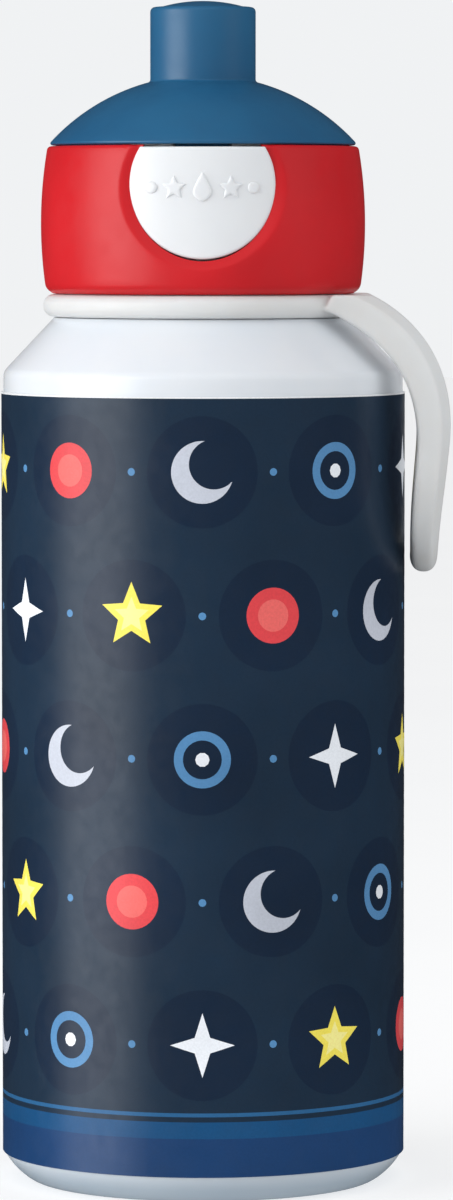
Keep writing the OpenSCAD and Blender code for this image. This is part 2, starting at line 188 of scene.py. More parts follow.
def rounded(corners, steps=5):
    """A closed outline from corners (r, z) or (r, z, fillet radius)."""
    out = []
    n = len(corners)
    for i, corner in enumerate(corners):
        p = Vector(corner[:2])
        if len(corner) < 3 or corner[2] <= 0:
            out.append(p)
            continue
        a = Vector(corners[i - 1][:2]) - p
        b = Vector(corners[(i + 1) % n][:2]) - p
        half = a.angle(b) / 2
        back = corner[2] / math.tan(half)
        back = min(back, 0.49 * a.length, 0.49 * b.length)
        radius = back * math.tan(half)
        middle = p + (a.normalized() + b.normalized()).normalized() * (radius / math.sin(half))
        start = p + a.normalized() * back - middle
        end = p + b.normalized() * back - middle
        sweep = math.atan2(start.cross(end), start.dot(end))
        for k in range(steps + 1):
            t = sweep * k / steps
            c, s = math.cos(t), math.sin(t)
            out.append(middle + Vector((start.x * c - start.y * s, start.x * s + start.y * c)))
    return [(max(p.x, 0.0), p.y) for p in out]


def rounded_section(corners):
    """An outline like rounded(), which may also cross the axis."""
    far = 10.0
    return [(u - far, v) for u, v in rounded([(c[0] + far, *c[1:]) for c in corners])]


def arc(cx, cz, r, a0, a1, n):
    """Points of an arc from angle a0 to a1, in degrees."""
    angles = [math.radians(a0 + (a1 - a0) * i / n) for i in range(n + 1)]
    return [(cx + r * math.cos(a), cz + r * math.sin(a)) for a in angles]


def lathe(name, outline, around=192, centre=(0, 0, 0), axis="Z"):
    """A closed solid turned from a closed outline of (radius, height) in mm."""
    bm = bmesh.new()
    rings = []
    for r, z in outline:
        if r < 1e-6:
            rings.append([bm.verts.new(_along(axis, 0, 0, z, centre))])
            continue
        ring = []
        for k in range(around):
            a = 2 * math.pi * k / around
            ring.append(bm.verts.new(_along(axis, r * math.cos(a), r * math.sin(a), z, centre)))
        rings.append(ring)
    count = len(rings)
    for i in range(count):
        p, q = rings[i], rings[(i + 1) % count]
        if len(p) == 1 and len(q) == 1:
            continue
        for k in range(around):
            j = (k + 1) % around
            if len(p) == 1:
                bm.faces.new((p[0], q[j], q[k]))
            elif len(q) == 1:
                bm.faces.new((p[k], p[j], q[0]))
            else:
                bm.faces.new((p[k], p[j], q[j], q[k]))
    bmesh.ops.recalc_face_normals(bm, faces=bm.faces)
    return solid_from(bm, name)


def _along(axis, a, b, h, centre):
    p = (a, b, h) if axis == "Z" else (h, a, b)
    return tuple((p[i] + centre[i]) * MM for i in range(3))


def block(lo, hi, name="block", soft=0.0):
    bm = bmesh.new()
    bmesh.ops.create_cube(bm, size=1)
    for v in bm.verts:
        for i in range(3):
            v.co[i] = (lo[i] + (v.co[i] + 0.5) * (hi[i] - lo[i])) * MM
    if soft:
        bmesh.ops.bevel(bm, geom=bm.edges[:], offset=soft * MM, segments=3, affect="EDGES", profile=0.5)
    return solid_from(bm, name)


def rod(r, lo, hi, axis, centre, around=64):
    """A plain cylinder along an axis, from lo to hi."""
    return lathe("rod", [(0, lo), (r, lo), (r, hi), (0, hi)], around, centre, axis)


def combine(obj, other, how):
    """Boolean of obj with other, which is used up."""
    modifier = obj.modifiers.new("cut", "BOOLEAN")
    modifier.operation = how
    modifier.solver = "EXACT"
    modifier.object = other
    bpy.context.view_layer.update()
    graph = bpy.context.evaluated_depsgraph_get()
    mesh = bpy.data.meshes.new_from_object(obj.evaluated_get(graph))
    obj.modifiers.clear()
    old = obj.data
    obj.data = mesh
    bpy.data.meshes.remove(old)
    bpy.data.meshes.remove(other.data)
    return obj


def cut(obj, *others):
    for other in others:
        combine(obj, other, "DIFFERENCE")
    return obj


def add(obj, *others):
    for other in others:
        combine(obj, other, "UNION")
    return obj


def tube(name, rings):
    """A closed tube through rings of points in mm."""
    n = len(rings[0])
    verts = [p for ring in rings for p in ring]
    faces = []
    for i in range(len(rings) - 1):
        for k in range(n):
            faces.append((i * n + k, i * n + (k + 1) % n, (i + 1) * n + (k + 1) % n, (i + 1) * n + k))
    faces.append(tuple(range(n - 1, -1, -1)))
    faces.append(tuple((len(rings) - 1) * n + k for k in range(n)))
    return outward(make(name, verts, faces))


def ridge(root_r, height, way, low_z, turn, first, lead=9.0):
    """One screw ridge; way is 1 where it points out and -1 where it points in."""
    steps = round(turn / 4)
    rings = []
    for i in range(steps + 1):
        a = math.radians(first + turn * i / steps)
        z = low_z + lead * turn * i / steps / 360
        full = min(1, (i + 0.8) / 6, (steps - i + 0.8) / 6)
        crest = root_r + way * height * math.sqrt(full)
        foot = root_r - way * 0.3
        outline = [
            (foot, -0.75), (crest - way * 0.15, -0.42), (crest, -0.25),
            (crest, 0.25), (crest - way * 0.15, 0.42), (foot, 0.75),
        ]
        rings.append([(r * math.cos(a), r * math.sin(a), z + dz) for r, dz in outline])
    return tube("ridge", rings)


# ---------------------------------------------------------------- materials
def new_material(name):
    m = bpy.data.materials.new(name)
    m.use_nodes = True
    return m, m.node_tree, m.node_tree.nodes["Principled BSDF"]


def noise(tree, size_mm, detail=2.0, roughness=0.5, stretch=(1, 1, 1)):
    coords = tree.nodes.new("ShaderNodeTexCoord")
    mapping = tree.nodes.new("ShaderNodeMapping")
    mapping.inputs["Scale"].default_value = stretch
    texture = tree.nodes.new("ShaderNodeTexNoise")
    texture.inputs["Scale"].default_value = 1 / (size_mm * MM)
    texture.inputs["Detail"].default_value = detail
    texture.inputs["Roughness"].default_value = roughness
    tree.links.new(coords.outputs["Object"], mapping.inputs["Vector"])
    tree.links.new(mapping.outputs["Vector"], texture.inputs["Vector"])
    return texture.outputs["Fac"]


def spread(tree, fac, lo, hi, span=(0.3, 0.7)):
    r = tree.nodes.new("ShaderNodeMapRange")
    r.inputs["From Min"].default_value = span[0]
    r.inputs["From Max"].default_value = span[1]
    r.inputs["To Min"].default_value = lo
    r.inputs["To Max"].default_value = hi
    tree.links.new(fac, r.inputs["Value"])
    return r.outputs["Result"]


def mixed(tree, fac, a, b, how="MIX"):
    m = tree.nodes.new("ShaderNodeMix")
    m.data_type = "RGBA"
    m.blend_type = how
    for socket, value in ((m.inputs[6], a), (m.inputs[7], b)):
        if isinstance(value, (tuple, list)):
            socket.default_value = value
        else:
            tree.links.new(value, socket)
    if isinstance(fac, float):
        m.inputs[0].default_value = fac
    else:
        tree.links.new(fac, m.inputs[0])
    return m.outputs[2]


def bump(tree, bsdf, layers):
    """Stacks bump maps: layers of (height, depth in mm)."""
    last = None
    for height, depth in layers:
        b = tree.nodes.new("ShaderNodeBump")
        b.inputs["Strength"].default_value = 1.0
        b.inputs["Distance"].default_value = depth * MM
        tree.links.new(height, b.inputs["Height"])
        if last:
            tree.links.new(last, b.inputs["Normal"])
        last = b.outputs["Normal"]
    tree.links.new(last, bsdf.inputs["Normal"])


def moulded(name, colour, tint, rough, grain, depth, wave=0.0, glow=0.0, glow_scale=1.0, ior=1.49, foot=None):
    """Moulded plastic: uneven colour, uneven gloss, a skin grain of size grain mm and slow surface waves.

    foot multiplies the colour in the lowest few millimetres: painted shade, darker and bluer towards the
    bottom.
    """
    m, tree, bsdf = new_material(name)
    colour_noise = spread(tree, noise(tree, 14, 3.0), 0.0, 1.0)
    skin = mixed(tree, colour_noise, colour, tint)
    # painted shade: the colour darkens towards the bottom
    if foot:
        place = tree.nodes.new("ShaderNodeTexCoord")
        split = tree.nodes.new("ShaderNodeSeparateXYZ")
        tree.links.new(place.outputs["Object"], split.inputs["Vector"])
        near = spread(tree, split.outputs["Z"], 1.0, 0.0, (2.0 * MM, 7.0 * MM))
        skin = mixed(tree, near, skin, mixed(tree, 1.0, skin, foot, "MULTIPLY"))
    tree.links.new(skin, bsdf.inputs["Base Color"])
    gloss = spread(tree, noise(tree, 3.5, 4.0, 0.6), rough * 0.88, rough * 1.14)
    tree.links.new(gloss, bsdf.inputs["Roughness"])
    layers = [(noise(tree, grain, 3.0, 0.6), depth)]
    if wave:
        layers.append((noise(tree, 9, 1.0), wave))
    bump(tree, bsdf, layers)
    bsdf.inputs["IOR"].default_value = ior
    if glow:
        bsdf.inputs["Subsurface Weight"].default_value = glow
        bsdf.inputs["Subsurface Radius"].default_value = (1.0, 0.9, 0.8)
        bsdf.inputs["Subsurface Scale"].default_value = glow_scale * MM
    return m


def printed(name):
    """The printed film: ink colours from the mesh, a fine print grain, gloss on top."""
    m, tree, bsdf = new_material(name)
    ink = tree.nodes.new("ShaderNodeAttribute")
    ink.attribute_name = "print"
    grain = spread(tree, noise(tree, 0.35, 2.0, 0.6), 0.94, 1.05)
    cloud = spread(tree, noise(tree, 26, 3.0, 0.55), 0.86, 1.12)
    tone = tree.nodes.new("ShaderNodeMath")
    tone.operation = "MULTIPLY"
    tree.links.new(grain, tone.inputs[0])
    tree.links.new(cloud, tone.inputs[1])
    both = tree.nodes.new("ShaderNodeVectorMath")
    both.operation = "SCALE"
    tree.links.new(ink.outputs["Color"], both.inputs[0])
    tree.links.new(tone.outputs["Value"], both.inputs["Scale"])
    tree.links.new(both.outputs["Vector"], bsdf.inputs["Base Color"])
    gloss = spread(tree, noise(tree, 2.2, 4.0, 0.6), 0.30, 0.42)
    tree.links.new(gloss, bsdf.inputs["Roughness"])
    bump(tree, bsdf, [
        (noise(tree, 0.5, 2.0, 0.5), 0.004),
        (noise(tree, 16, 1.0, 0.5, (1, 1, 0.35)), 0.05),
    ])
    bsdf.inputs["IOR"].default_value = 1.47
    bsdf.inputs["Specular IOR Level"].default_value = 0.38
    return m


def drawn_steel(name):
    m, tree, bsdf = new_material(name)
    tone = spread(tree, noise(tree, 1.5, 3.0), 0.0, 1.0)
    tree.links.new(mixed(tree, tone, srgb(190, 192, 196), srgb(160, 163, 168)), bsdf.inputs["Base Color"])
    bsdf.inputs["Metallic"].default_value = 1.0
    tree.links.new(spread(tree, noise(tree, 0.3, 3.0), 0.2, 0.38), bsdf.inputs["Roughness"])
    bump(tree, bsdf, [(noise(tree, 0.12, 2.0), 0.004)])
    return m


# the white plastic's foot colour is painted shade, darker and bluer in its lowest millimetres
WHITE = moulded("bottle_white", srgb(228, 231, 235), srgb(222, 227, 233), rough=0.24, grain=0.5, depth=0.004,
                wave=0.035, glow=0.25, glow_scale=2.0, foot=(0.64, 0.73, 0.80, 1))
STRAP = moulded("strap_white", srgb(224, 226, 227), srgb(217, 217, 216), rough=0.42, grain=0.22, depth=0.010,
                wave=0.03, glow=0.35, glow_scale=1.6, ior=1.45)
RED = moulded("cap_red", srgb(208, 20, 30), srgb(198, 14, 25), rough=0.40, grain=0.16, depth=0.016,
              wave=0.02, ior=1.44)
BLUE = moulded("lid_blue", srgb(33, 96, 136), srgb(28, 88, 128), rough=0.38, grain=0.35, depth=0.005,
               wave=0.03)
BUTTON = moulded("button_white", srgb(232, 234, 236), srgb(227, 229, 232), rough=0.34, grain=0.3, depth=0.005,
                 wave=0.02, glow=0.2, glow_scale=1.2)
INNER = moulded("inner_white", srgb(224, 227, 230), srgb(217, 221, 225), rough=0.3, grain=0.4, depth=0.006,
                wave=0.03, glow=0.2, glow_scale=1.5)
SILICONE = moulded("silicone", srgb(222, 228, 232), srgb(212, 220, 226), rough=0.38, grain=0.5, depth=0.006,
                   wave=0.02, glow=0.6, glow_scale=2.5, ior=1.41)
STEEL = drawn_steel("steel")
PRINT = printed("label_print")


def dress(obj, material, body, node):
    """Material, body and the CAD node that it stands for, for one new piece."""
    obj.data.materials.clear()
    obj.data.materials.append(material)
    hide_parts(*([node] if isinstance(node, str) else node))
    if body:
        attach(obj, body)
    return obj


def paint(node, material):
    """A procedural material on a CAD node that stays as it is."""
    mesh = frame["nodes"][node].data
    if not mesh.materials:
        mesh.materials.append(material)
    for i in range(len(mesh.materials)):
        mesh.materials[i] = material


# ---------------------------------------------------------------- bottle
def bottle_body():
    foot_r = BODY_R - FOOT_ROUND
    foot_power = 1.55  # 2 would be a straight chamfer, 1 a round
    corners = [(0, 2.0), (20.5, 1.7, 2.0), (23.5, 0, 0.5), (foot_r - 1, 0)]
    for i in range(1, 15):
        t = math.pi / 2 * (1 - i / 14)
        out, up = math.cos(t) ** foot_power, math.sin(t) ** foot_power
        corners.append((foot_r + FOOT_ROUND * out, FOOT_ROUND - FOOT_ROUND * up))
    corners += [(BODY_R, z) for z in (20, 45, 70, 95, 118, SHOULDER_Z - 1.7, SHOULDER_Z + 0.3)]
    corners += arc(BODY_R - 2, SHOULDER_Z + 0.8, 2, 4, 45, 10)
    top = corners[-1]
    collar_low = COLLAR_Z + 0.1
    for i in range(1, 8):
        t = i / 8
        corners.append((top[0] + (SHOULDER_R - top[0]) * t, top[1] + (collar_low - top[1]) * t))
    corners += [
        (SHOULDER_R, collar_low, 0.1), (COLLAR_R, collar_low, 0.3), (COLLAR_R, 140.15, 0.2),
        (BEAD_R, 140.2, 0.3), (BEAD_R, BEAD_Z, 0.4), (NECK_R, BEAD_Z, 0.8), (NECK_R, RIM_Z, 0.5),
        (NECK_BORE, RIM_Z, 0.4), (NECK_BORE, 140.3, 1.0),
        (20.4, 139.2, 0.8), (20.4, 136.4, 0.8), (21.8, 135.1, 0.6),
    ]
    corners += arc(BODY_R - 3, SHOULDER_Z - 0.4, 1.8, 44, 6, 6)
    corners += [(BODY_R - WALL, z) for z in (SHOULDER_Z - 1.8, 95, 60, 25)]
    corners += arc(foot_r - 0.2, 4.5, 3.3, 0, -84, 8)
    corners += [(foot_r - 1, 1.5), (24, 1.5, 0.5), (20.9, 3.1, 0.8), (0, 3.5)]
    body = lathe("bottle", rounded(corners), 256)
    for start in range(3):
        add(body, ridge(NECK_R, 1.4, 1, 143.2, 340, 120 * start))
    return dress(shade(body), WHITE, "bottle", "bottle_body")


# ---------------------------------------------------------------- printed film
INK = {
    "navy": (27, 48, 69), "deep": (22, 41, 64), "edge": (236, 238, 240),
    "band": (24, 64, 112), "band_mid": (18, 78, 126), "band_line": (40, 98, 146),
    "grey": (196, 201, 213), "blue": (84, 138, 186), "white": (238, 242, 248),
    "red": (224, 68, 74), "red_pale": (236, 104, 100),
    "yellow": (248, 230, 92), "yellow_pale": (252, 242, 150),
}
COLUMNS, ROWS = 9, 5
HALO_R = 8.6
DOT_R = 0.6
CUT_EDGE_AND_HIGHLIGHT = 0.24  # height of the pale strip along the film's top: the film's white cut edge, carried onto the front face as a painted highlight of the lit edge


def resample(points, step):
    """A closed outline with its edges divided, so that none is longer than step."""
    out = []
    pts = list(points) + [points[0]]
    for p, q in zip(pts, pts[1:]):
        d = math.hypot(q[0] - p[0], q[1] - p[1])
        n = max(1, math.ceil(d / step))
        out += [(p[0] + (q[0] - p[0]) * i / n, p[1] + (q[1] - p[1]) * i / n) for i in range(n)]
    return out


def soft_loop(points, n):
    """A smooth closed curve through points; a point given with a third value stays a corner."""
    out = []
    count = len(points)
    for i in range(count):
        p0, p1, p2, p3 = (points[(i + k) % count] for k in (-1, 0, 1, 2))
        a = Vector(p1[:2]) if len(p1) > 2 else Vector(p0[:2])
        d = Vector(p2[:2]) if len(p2) > 2 else Vector(p3[:2])
        b, c = Vector(p1[:2]), Vector(p2[:2])
        for k in range(n):
            t = k / n
            square, cube = 2 * a - 5 * b + 4 * c - d, 3 * b - a - 3 * c + d
            v = 0.5 * (2 * b + (c - a) * t + square * t * t + cube * t ** 3)
            out.append((v.x, v.y))
    return out


def disc(c, r, n=None):
    n = n or max(10, min(64, int(r * 9)))
    angles = [2 * math.pi * k / n for k in range(n)]
    return [(c[0] + r * math.cos(a), c[1] + r * math.sin(a)) for a in angles]


def star(c, r, points=5, inner=0.45):
    """A star with its first point up; inner is the depth of its notches, as a share of r."""
    out = []
    for k in range(2 * points):
        a = math.pi * k / points + math.pi / 2
        q = r if k % 2 == 0 else r * inner
        out.append((c[0] + q * math.cos(a), c[1] + q * math.sin(a)))
    return out


def crescent(c, r, turn):
    """A plain crescent: a disc with a smaller disc taken out of one side."""
    outer = [(math.cos(a), math.sin(a)) for a in np.radians(np.linspace(51.3, 308.7, 40))]
    bite = [(0.45 + 0.8 * math.cos(a), 0.8 * math.sin(a)) for a in np.radians(np.linspace(282.6, 77.4, 30))]
    out = []
    for x, y in outer + bite[1:-1]:
        x, y = r * x, r * y
        cos, sin = math.cos(turn), math.sin(turn)
        out.append((c[0] + x * cos - y * sin, c[1] + x * sin + y * cos))
    return out


def motif(kind, c):
    """One of the five plain marks of the repeat, round c."""
    if kind == 0:
        return [("yellow", star(c, 5.2)), ("yellow_pale", star(c, 2.9))]
    if kind == 1:
        return [("red", disc(c, 4.3)), ("red_pale", disc(c, 2.5))]
    if kind == 2:
        return [("grey", crescent(c, 4.8, 0.6))]
    if kind == 3:
        return [("blue", disc(c, 4.4)), ("deep", disc(c, 3.0)), ("white", disc(c, 1.1))]
    return [("white", star(c, 5.0, 4, 0.34))]


def label_shapes():
    """A regular half-drop repeat over plain bands. Every place follows from the film's own size."""
    half = math.pi * LABEL_R
    width = 2 * half / COLUMNS
    bands = ((0.0, 6.0, "band"), (6.0, 8.6, "band_mid"), (9.4, 10.0, "band_line"))

    def strip(z0, z1):
        return [(-half, z0), (half, z0), (half, z1), (-half, z1)]

    out = [(ink, strip(LABEL_LOW + z0, LABEL_LOW + z1)) for z0, z1, ink in bands]
    first, last = LABEL_LOW + 20.5, LABEL_HIGH - 11.5
    pitch = (last - first) / (ROWS - 1)
    for j in range(ROWS):
        z = first + pitch * j
        for i in range(COLUMNS + j % 2):
            c = (-half + width * (i + (0.0 if j % 2 else 0.5)), z)
            out.append(("deep", disc(c, HALO_R)))
            out += motif((i % COLUMNS + 2 * j) % 5, c)
        for i in range(COLUMNS + (j + 1) % 2):
            x = -half + width * (i + (0.5 if j % 2 else 0.0))
            out.append(("blue", disc((x, z), DOT_R, 12)))
    # painted highlight: a pale strip on the front of the film's top stands for its lit top edge
    out.append(("edge", strip(LABEL_HIGH - CUT_EDGE_AND_HIGHLIGHT, LABEL_HIGH)))
    return out


def clipped(points, lo, hi):
    """A polygon cut to the film's rectangle."""
    for axis in (0, 1):
        for edge, sign in ((lo[axis], 1), (hi[axis], -1)):
            keep = []
            for p, q in zip(points, points[1:] + points[:1]):
                dp, dq = sign * (p[axis] - edge), sign * (q[axis] - edge)
                if dp >= 0:
                    keep.append(p)
                if (dp > 0 > dq) or (dp < 0 < dq):
                    t = dp / (dp - dq)
                    keep.append((p[0] + (q[0] - p[0]) * t, p[1] + (q[1] - p[1]) * t))
            points = keep
            if len(points) < 3:
                return []
    return points


def inside(polygon, points):
    """Which of points, an n by 2 array, lie in the polygon."""
    poly = np.array(polygon)
    hit = np.zeros(len(points), bool)
    near = np.all((points >= poly.min(0)) & (points <= poly.max(0)), axis=1)
    x, y = points[near, 0], points[near, 1]
    within = np.zeros(len(x), bool)
    for (x0, y0), (x1, y1) in zip(poly, np.roll(poly, -1, axis=0)):
        if y0 == y1:
            continue
        crosses = (y0 > y) != (y1 > y)
        within ^= crosses & (x < (x1 - x0) * (y - y0) / (y1 - y0) + x0)
    hit[near] = within
    return hit


def triangulate(points, loops, open_lines=()):
    """Delaunay triangles over points, with the closed loops and open lines as edges."""
    verts = [Vector(p) for p in points]
    edges = []
    for loop in loops:
        n = len(verts)
        verts += [Vector(p) for p in loop]
        edges += [(n + i, n + (i + 1) % len(loop)) for i in range(len(loop))]
    for line in open_lines:
        n = len(verts)
        verts += [Vector(p) for p in line]
        edges += [(n + i, n + i + 1) for i in range(len(line) - 1)]
    out = delaunay_2d_cdt(verts, edges, [], 0, 1e-5)
    return np.array([tuple(v) for v in out[0]]), [tuple(f) for f in out[2]]


def sheet_solid(name, flat, faces, outer, inner):
    """A closed solid from one triangulation: outer(u, v) and inner(u, v) give its two skins."""
    edges = {}
    for f in faces:
        for a, b in zip(f, f[1:] + f[:1]):
            edges[(a, b)] = edges.get((a, b), 0) + 1
    rim = [(a, b) for a, b in edges if (b, a) not in edges]
    n = len(flat)
    verts = [outer(*p) for p in flat] + [inner(*p) for p in flat]
    out = list(faces) + [tuple(n + i for i in reversed(f)) for f in faces]
    walls = [(b, a, a + n, b + n) for a, b in rim]
    return make(name, verts, out + walls), len(walls)


def close_seam(obj):
    """Joins the two ends of a sheet that is wrapped round, at the back, and takes out the walls there."""
    bm = bmesh.new()
    bm.from_mesh(obj.data)
    bmesh.ops.remove_doubles(bm, verts=bm.verts, dist=1e-7)
    seam = [f for f in bm.faces if all(abs(v.co.x) < 1e-6 and v.co.y > 0 for v in f.verts)]
    bmesh.ops.delete(bm, geom=seam, context="FACES")
    bm.to_mesh(obj.data)
    bm.free()


def round_normals(mesh):
    """Smooth normals that point away from the axis, or straight up and down on the cut edges."""
    mesh.shade_smooth()
    normals = []
    for p in mesh.polygons:
        n = p.normal
        for v in p.vertices:
            co = mesh.vertices[v].co
            radial = Vector((co.x, co.y, 0)).normalized()
            if abs(n.z) > 0.7:
                normals.append(n.copy())
            else:
                normals.append(radial if n.dot(radial) > 0 else -radial)
    mesh.normals_split_custom_set(normals)


def print_outline(points, half):
    """Points every mm along an outline, but none added on the seam, where the film's ends must match."""
    return [p for p in resample(points, 1.0) if abs(abs(p[0]) - half) > 1e-6 or p in points]


def label_sleeve():
    half = math.pi * LABEL_R
    lo, hi = (-half, LABEL_LOW), (half, LABEL_HIGH)
    shapes = [(ink, clipped(points, lo, hi)) for ink, points in label_shapes()]
    shapes = [(ink, print_outline(points, half)) for ink, points in shapes if points]
    columns, rows = 200, 60
    height = LABEL_HIGH - LABEL_LOW
    grid = [
        (-half + 2 * half * i / columns, LABEL_LOW + height * (j + 0.5 * (i % 2)) / rows)
        for i in range(1, columns) for j in range(1, rows)
    ]
    frame_loop = [(-half + 2 * half * i / columns, LABEL_LOW) for i in range(columns)]
    frame_loop += [(half, LABEL_LOW + height * j / rows) for j in range(rows)]
    frame_loop += [(half - 2 * half * i / columns, LABEL_HIGH) for i in range(columns)]
    frame_loop += [(-half, LABEL_HIGH - height * j / rows) for j in range(rows)]
    flat, faces = triangulate(grid, [frame_loop] + [points for _, points in shapes])
    centres = np.array([flat[list(f)].mean(0) for f in faces])
    colours = np.tile(np.array(srgb(*INK["navy"])), (len(faces), 1))
    for ink, points in shapes:
        colours[inside(points, centres)] = srgb(*INK[ink])

    def wrap(r):
        return lambda u, z: (r * math.sin(u / LABEL_R), -r * math.cos(u / LABEL_R), z)

    obj, walls = sheet_solid("label", flat, faces, wrap(LABEL_R), wrap(BODY_R))
    everything = np.concatenate([colours, colours, np.tile(np.array(srgb(*INK["edge"])), (walls, 1))])
    if len(obj.data.polygons) != len(everything):
        raise RuntimeError("the film lost faces")
    ink = obj.data.color_attributes.new("print", "FLOAT_COLOR", "CORNER")
    per_corner = np.repeat(everything, [p.loop_total for p in obj.data.polygons], axis=0)
    ink.data.foreach_set("color", per_corner.astype(np.float32).ravel())
    close_seam(obj)
    round_normals(obj.data)
    return dress(obj, PRINT, "bottle", "label_sleeve")


# ---------------------------------------------------------------- carry strap
# the loop's middle line from the front, as two cubic curves: round the bend, then down
BEND = [(21.3, 139.3), (27.85, 136.7), (37.0, 130.65), (35.85, 116.25)]
DROP = [(35.85, 116.25), (35.35, 109.95), (34.5, LOOP_LOW + 8), (34.85, LOOP_LOW + 2.2)]
ROOT_HALF = 2.53  # half the loop's thickness at its root
SWELL, TAPER = 1.84, 0.38
ARM_HALF = 2.5  # half an arm's width in depth
SQUARENESS = 2.2  # of the section in the U-bend: 2 is round

# across the loop: u points away from the bottle, v into the loop; the outer front corner is a wide bevel
LOOP_SECTION = resample(rounded_section([
    (-1, -1, 0.34), (0.45, -1, 0.08), (1, 0, 0.3), (1, 1, 0.5), (-1, 1, 0.5),
]), 0.16)


def cubic(p, t):
    q = [Vector(v) for v in p]
    return (1 - t) ** 3 * q[0] + 3 * t * (1 - t) ** 2 * q[1] + 3 * t * t * (1 - t) * q[2] + t ** 3 * q[3]


def loop_line():
    """Middle line of the loop seen from the front, as (point, half thickness) at even steps."""
    n, m = 60, 40
    pts = [(cubic(BEND, i / n), ROOT_HALF + SWELL * i / n * (1 - i / n)) for i in range(n)]
    pts += [(cubic(DROP, i / m), ROOT_HALF - TAPER * i / m) for i in range(m + 1)]
    last = pts[-1][0]
    d = (pts[-1][0] - pts[-2][0]).normalized()
    pts.append((last + d * 6, 2.2))
    lengths = [0.0]
    for a, b in zip(pts, pts[1:]):
        lengths.append(lengths[-1] + (b[0] - a[0]).length)
    xs = np.array([p[0].x for p in pts])
    zs = np.array([p[0].y for p in pts])
    hs = np.array([p[1] for p in pts])
    lengths = np.array(lengths)

    start = (pts[1][0] - pts[0][0]).normalized()

    def at(w):
        if w < 0:
            return pts[0][0].x + start.x * w, pts[0][0].y + start.y * w, pts[0][1]
        return tuple(float(np.interp(w, lengths, values)) for values in (xs, zs, hs))

    return at, lengths[-2]


def strap():
    at, full = loop_line()
    root = -1.5
    middle_y = ARM_OUT - ARM_HALF
    bottom = full + 2.2 - ARM_HALF
    straight = bottom - middle_y
    around = np.linspace(0, math.pi, 49)[1:-1]
    path = [(middle_y, w) for w in np.linspace(root, straight, 46)]
    path += [(middle_y * math.cos(a), straight + middle_y * math.sin(a)) for a in around]
    path += [(-middle_y, w) for w in np.linspace(straight, root, 46)]
    rings = []
    for i, (y, w) in enumerate(path):
        x, z, half = at(w)
        x1, z1, _ = at(w + 0.4)
        x0, z0, _ = at(w - 0.4)
        down = Vector((x1 - x0, 0, z1 - z0))
        down = down.normalized() if down.length > 1e-6 else Vector((1, 0, -0.25)).normalized()
        y_a, w_a = path[max(i - 1, 0)]
        y_b, w_b = path[min(i + 1, len(path) - 1)]
        along = (Vector((0, 1, 0)) * (y_b - y_a) + down * (w_b - w_a)).normalized()
        out = Vector((-down.z, 0, down.x))
        side = along.cross(out).normalized()
        bend = 1 - min(1.0, abs(y) / (middle_y * 0.97))
        # the far arm is slimmer on its inner side
        slim = 1 - 0.34 * max(0.0, y) / middle_y * min(1.0, max(0.0, (w - 4) / 12))
        ring = []
        for u, v in LOOP_SECTION:
            k = 1 - bend + bend / (abs(u) ** SQUARENESS + abs(v) ** SQUARENESS) ** (1 / SQUARENESS)
            u = u * slim if u < 0 else u
            ring.append(tuple(Vector((x, y, z)) + out * (u * k * half) + side * (v * k * ARM_HALF)))
        rings.append(ring)
    loop = tube("loop", rings)
    ring_body = lathe("ring", rounded([
        (21, RING_LOW), (RING_R - 0.3, RING_LOW, 1.7), (RING_R - 0.3, RING_HIGH, 1.7), (21, RING_HIGH),
    ], 8), 256)
    above_ring = block((15, -20, RING_HIGH), (CAP_R + 1, 20, RING_HIGH + 6))
    cut(loop, above_ring)
    strap_obj = add(ring_body, loop)
    bore = rod(RING_BORE, RING_LOW - 2, RING_HIGH + 2, "Z", (0, 0, 0), 256)
    cut(strap_obj, bore)
    remesh = strap_obj.modifiers.new("remesh", "REMESH")
    remesh.mode = "VOXEL"
    remesh.voxel_size = 0.32 * MM
    remesh.adaptivity = 0.0
    smooth = strap_obj.modifiers.new("smooth", "SMOOTH")
    smooth.factor = 0.5
    smooth.iterations = 5
    bpy.context.view_layer.update()
    graph = bpy.context.evaluated_depsgraph_get()
    mesh = bpy.data.meshes.new_from_object(strap_obj.evaluated_get(graph))
    strap_obj.modifiers.clear()
    strap_obj.data = mesh
    strap_obj.name = "strap"
    mesh.shade_smooth()
    dress(strap_obj, STRAP, None, ("strap_ring", "carry_loop"))
    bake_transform(strap_obj)
    return strap_obj


# ---------------------------------------------------------------- cap
def cap_outer(z):
    """Radius of the cap's skin at height z, with its rounded lower and upper edges."""
    r = CAP_R - (z - CAP_WIDE_Z) ** 2 / (2 * CAP_BULGE)
    for edge, size in ((z - CAP_LOW, 1.5), (CAP_HIGH - z, 0.55)):
        if edge < size:
            r -= size - math.sqrt(max(0.0, size * size - (size - edge) ** 2))
    return r


def window_dip(x, z):
    """How far the skin drops towards the button's window."""
    d = math.hypot(x, z - WINDOW_Z) - WINDOW_R
    if d > 1.7 or z < WINDOW_Z - 20:
        return 0.0
    t = max(0.0, min(1.0, d / 1.55))
    slope = (1 - t) ** 1.5 * (1 + 0.4 * t)
    return 0.95 * slope


def knuckle(x0, x1):
    """A short barrel on the hinge's axis."""
    outline = rounded([(0, x0), (KNUCKLE_R, x0, 0.25), (KNUCKLE_R, x1, 0.25), (0, x1)])
    return lathe("knuckle", outline, 64, HINGE_AT, "X")


